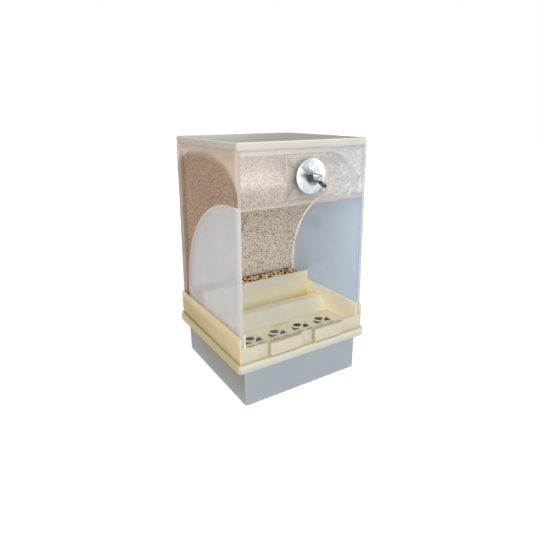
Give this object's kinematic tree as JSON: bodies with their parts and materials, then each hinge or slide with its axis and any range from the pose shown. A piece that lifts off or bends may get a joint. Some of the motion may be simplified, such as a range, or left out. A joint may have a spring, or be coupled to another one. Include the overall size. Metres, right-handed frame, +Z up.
{
  "type": "bird seed feeder",
  "caption": "Gravity bird seed feeder: clear hopper with a lift-off lid and curved ramp, over a seed tray with a husk grate and bin, with a bolt clamp for a cage.",
  "frame": {"origin": "centre of the bin's underside, on the surface it stands on", "axes": "+Z up; the feeding opening and the cage clamp face -Y; +X to the right seen from the front"},
  "size_m": [0.1506, 0.1584, 0.245],
  "materials": {
    "bin_plastic": "translucent moulded, satin",
    "tray_plastic": "moulded, satin",
    "grate_plastic": "moulded, satin",
    "frosted_sheet": "frosted clear sheet",
    "ramp_sheet": "clear sheet, formed to a curve",
    "pad_plastic": "frosted strip",
    "zinc_steel": "bright zinc plated",
    "nut_steel": "zinc plated, dulled",
    "lid_plastic": "translucent moulded, satin"
  },
  "bodies": {
    "bin": {"husk_bin": "bin_plastic"},
    "tray": {"seed_tray": "tray_plastic"},
    "grate": {"husk_grate": "grate_plastic"},
    "housing": {"left_panel": "frosted_sheet", "right_panel": "frosted_sheet", "back_panel": "frosted_sheet", "front_panel": "frosted_sheet", "curved_ramp": "ramp_sheet", "bolt_pad": "pad_plastic", "clamp_bolt": "zinc_steel", "inner_washer": "zinc_steel", "lock_nut": "nut_steel"},
    "lid": {"lid": "lid_plastic"},
    "washer": {"clamp_washer": "zinc_steel"},
    "nut": {"wing_nut": "nut_steel"}
  },
  "joints": [
    {"name": "tray_lift", "type": "slide", "parent": "bin", "child": "tray", "axis": [0, 0, 1], "range_m": [0, 0.06]},
    {"name": "grate_lift", "type": "slide", "parent": "tray", "child": "grate", "axis": [0, 0, 1], "range_m": [0, 0.05]},
    {"name": "housing_lift", "type": "slide", "parent": "tray", "child": "housing", "axis": [0, 0, 1], "range_m": [0, 0.08]},
    {"name": "lid_lift", "type": "slide", "parent": "housing", "child": "lid", "axis": [0, 0, 1], "range_m": [0, 0.06]},
    {"name": "washer_slide", "type": "slide", "parent": "housing", "child": "washer", "axis": [0, -1, 0], "range_m": [0, 0.005]},
    {"name": "wing_nut_turn", "type": "hinge", "parent": "washer", "child": "nut", "pos_m": [0, -0.0741, 0.2135], "axis": [0, -1, 0], "range_deg": [0, 1800]}
  ],
  "couplings": [
    {"joint": "washer_slide", "follows": "wing_nut_turn", "m_per_rad": 0.000159}
  ]
}
